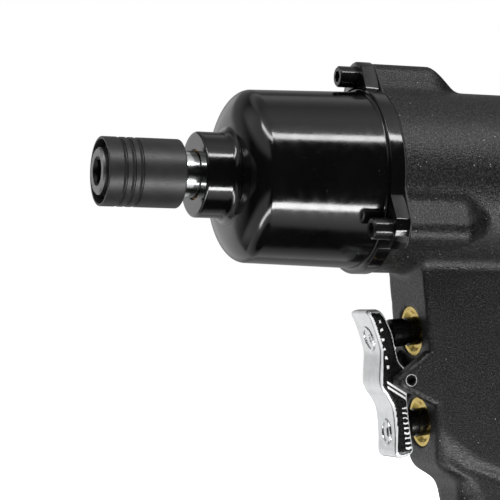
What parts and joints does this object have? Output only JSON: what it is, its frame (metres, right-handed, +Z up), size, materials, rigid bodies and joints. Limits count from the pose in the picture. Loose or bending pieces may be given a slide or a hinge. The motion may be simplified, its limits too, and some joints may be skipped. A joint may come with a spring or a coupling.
{
  "type": "air impact driver",
  "caption": "Pistol-grip pneumatic impact driver with a quick-change hexagon bit chuck, round hammer case, bolted motor housing and a rocking forward and reverse trigger.",
  "frame": {"origin": "on the output axis, in the plane of the quick-change sleeve's front rim", "axes": "-X out of the bit socket, towards the work; +Z up, away from the handle; +Y to the tool's right seen from the work"},
  "size_m": [0.1482, 0.061, 0.1796],
  "materials": {
    "gloss_black": "gloss",
    "textured_black": "matte",
    "black_oxide": "satin",
    "bolt_black": "satin",
    "polished_steel": "polished",
    "chrome": "polished",
    "steel": "satin",
    "brass": "satin",
    "bronze": "satin",
    "rubber": "matte",
    "black_plastic": "satin",
    "fibre": "matte"
  },
  "bodies": {
    "housing": {"hammer_case": "gloss_black", "nose_bush": "bronze", "case_gasket": "rubber", "case_bolts": "bolt_black", "spring_washers": "bolt_black", "motor_housing": "textured_black", "front_end_plate": "steel", "front_bearing": "steel", "cylinder_liner": "steel", "liner_dowel": "steel", "rear_end_plate": "steel", "rear_bearing": "steel", "trigger_pin": "bolt_black", "forward_valve_bush": "brass", "reverse_valve_bush": "brass", "inlet_bushing": "steel", "inlet_seal": "rubber", "inlet_screen": "steel", "exhaust_ring": "bolt_black"},
    "anvil_group": {"anvil": "polished_steel", "retaining_balls": "polished_steel", "sleeve_spring": "steel", "sleeve_washer": "steel", "sleeve_snap_ring": "steel"},
    "sleeve": {"quick_change_sleeve": "black_oxide"},
    "hammer": {"hammer_cage": "steel", "front_hammer_dog": "steel", "rear_hammer_dog": "steel", "hammer_pins": "steel"},
    "rotor_group": {"rotor": "steel", "rotor_vanes": "fibre"},
    "trigger": {"rocker_trigger": "chrome"},
    "forward_valve": {"forward_valve_plunger": "black_plastic", "forward_valve_seal": "rubber", "forward_valve_spring": "steel"},
    "reverse_valve": {"reverse_valve_plunger": "black_plastic", "reverse_valve_seal": "rubber", "reverse_valve_spring": "steel"}
  },
  "joints": [
    {"name": "hammer_spin", "type": "hinge", "parent": "housing", "child": "hammer", "pos_m": [0.055, 0, 0], "axis": [-1, 0, 0], "continuous": true},
    {"name": "anvil_spin", "type": "hinge", "parent": "housing", "child": "anvil_group", "pos_m": [0.03, 0, 0], "axis": [-1, 0, 0], "continuous": true},
    {"name": "rotor_spin", "type": "hinge", "parent": "housing", "child": "rotor_group", "pos_m": [0.105, 0, 0], "axis": [-1, 0, 0], "continuous": true},
    {"name": "sleeve_pull", "type": "slide", "parent": "anvil_group", "child": "sleeve", "axis": [-1, 0, 0], "range_m": [0, 0.003], "stiffness_N_per_m": 900, "springref_m": -0.002, "deforming": ["sleeve_spring"]},
    {"name": "trigger_rock", "type": "hinge", "parent": "housing", "child": "trigger", "pos_m": [0.0877, 0, -0.0561], "axis": [0, 1, 0], "range_deg": [-10, 10], "stiffness_Nm_per_rad": 0.8},
    {"name": "forward_valve_push", "type": "slide", "parent": "housing", "child": "forward_valve", "axis": [0.994, 0, 0.1097], "range_m": [-0.0024, 0.0024], "deforming": ["forward_valve_spring"]},
    {"name": "reverse_valve_push", "type": "slide", "parent": "housing", "child": "reverse_valve", "axis": [0.994, 0, 0.1097], "range_m": [-0.0024, 0.0024], "deforming": ["reverse_valve_spring"]}
  ],
  "couplings": [
    {"joint": "anvil_spin", "follows": "hammer_spin", "ratio": 1},
    {"joint": "rotor_spin", "follows": "hammer_spin", "ratio": 1},
    {"joint": "forward_valve_push", "follows": "trigger_rock", "m_per_rad": 0.013},
    {"joint": "reverse_valve_push", "follows": "trigger_rock", "m_per_rad": -0.013}
  ]
}
